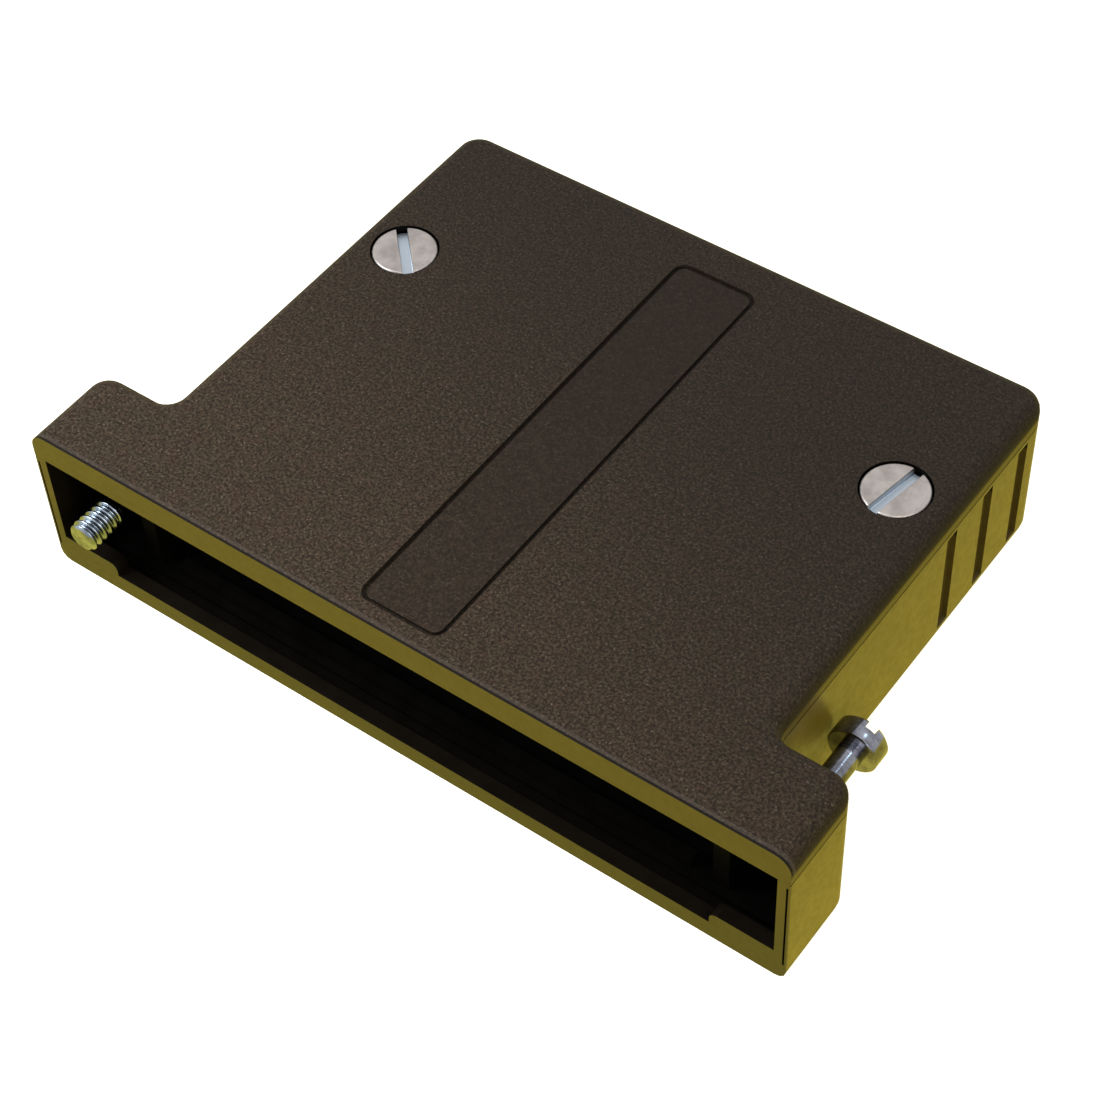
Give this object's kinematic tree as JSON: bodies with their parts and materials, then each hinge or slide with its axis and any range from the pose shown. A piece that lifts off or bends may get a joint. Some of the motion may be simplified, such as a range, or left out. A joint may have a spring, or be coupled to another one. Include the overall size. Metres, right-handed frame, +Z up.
{
  "type": "d-sub hood",
  "caption": "Two-part plastic hood for a wide D-sub cable connector, with a slotted jackscrew held captive in each ear and a screw-down saddle for the cable at the back",
  "frame": {"origin": "centre of the connector's mouth, in the plane of the front face, 7.2 mm above the underside", "axes": "+X across the connector, to the right when looking from the mouth towards the cable, +Y from the mouth to the cable end, +Z up through the screwed cover"},
  "size_m": [0.073, 0.0512, 0.0155],
  "materials": {
    "cover_plastic": "fine spark-eroded grain on top, satin sides",
    "shell_plastic": "satin moulded",
    "screw_steel": "bright nickel plated, turned",
    "jackscrew_steel": "dull zinc plated, turned",
    "saddle_steel": "pressed strip, zinc plated"
  },
  "bodies": {
    "hood": {"bottom_shell": "shell_plastic", "top_cover": "cover_plastic", "left_cover_screw": "screw_steel", "right_cover_screw": "screw_steel", "left_cover_nut": "screw_steel", "right_cover_nut": "screw_steel", "lower_cable_saddle": "saddle_steel", "upper_cable_saddle": "saddle_steel", "left_clamp_screw": "screw_steel", "right_clamp_screw": "screw_steel", "left_clamp_nut": "screw_steel", "right_clamp_nut": "screw_steel"},
    "left_jack": {"left_jackscrew": "jackscrew_steel"},
    "right_jack": {"right_jackscrew": "jackscrew_steel"}
  },
  "joints": [
    {"name": "left_jackscrew_slide", "type": "slide", "parent": "hood", "child": "left_jack", "axis": [0, 1, 0], "range_m": [-0.00175, 0.00555]},
    {"name": "right_jackscrew_slide", "type": "slide", "parent": "hood", "child": "right_jack", "axis": [0, 1, 0], "range_m": [-0.0073, 0]}
  ]
}
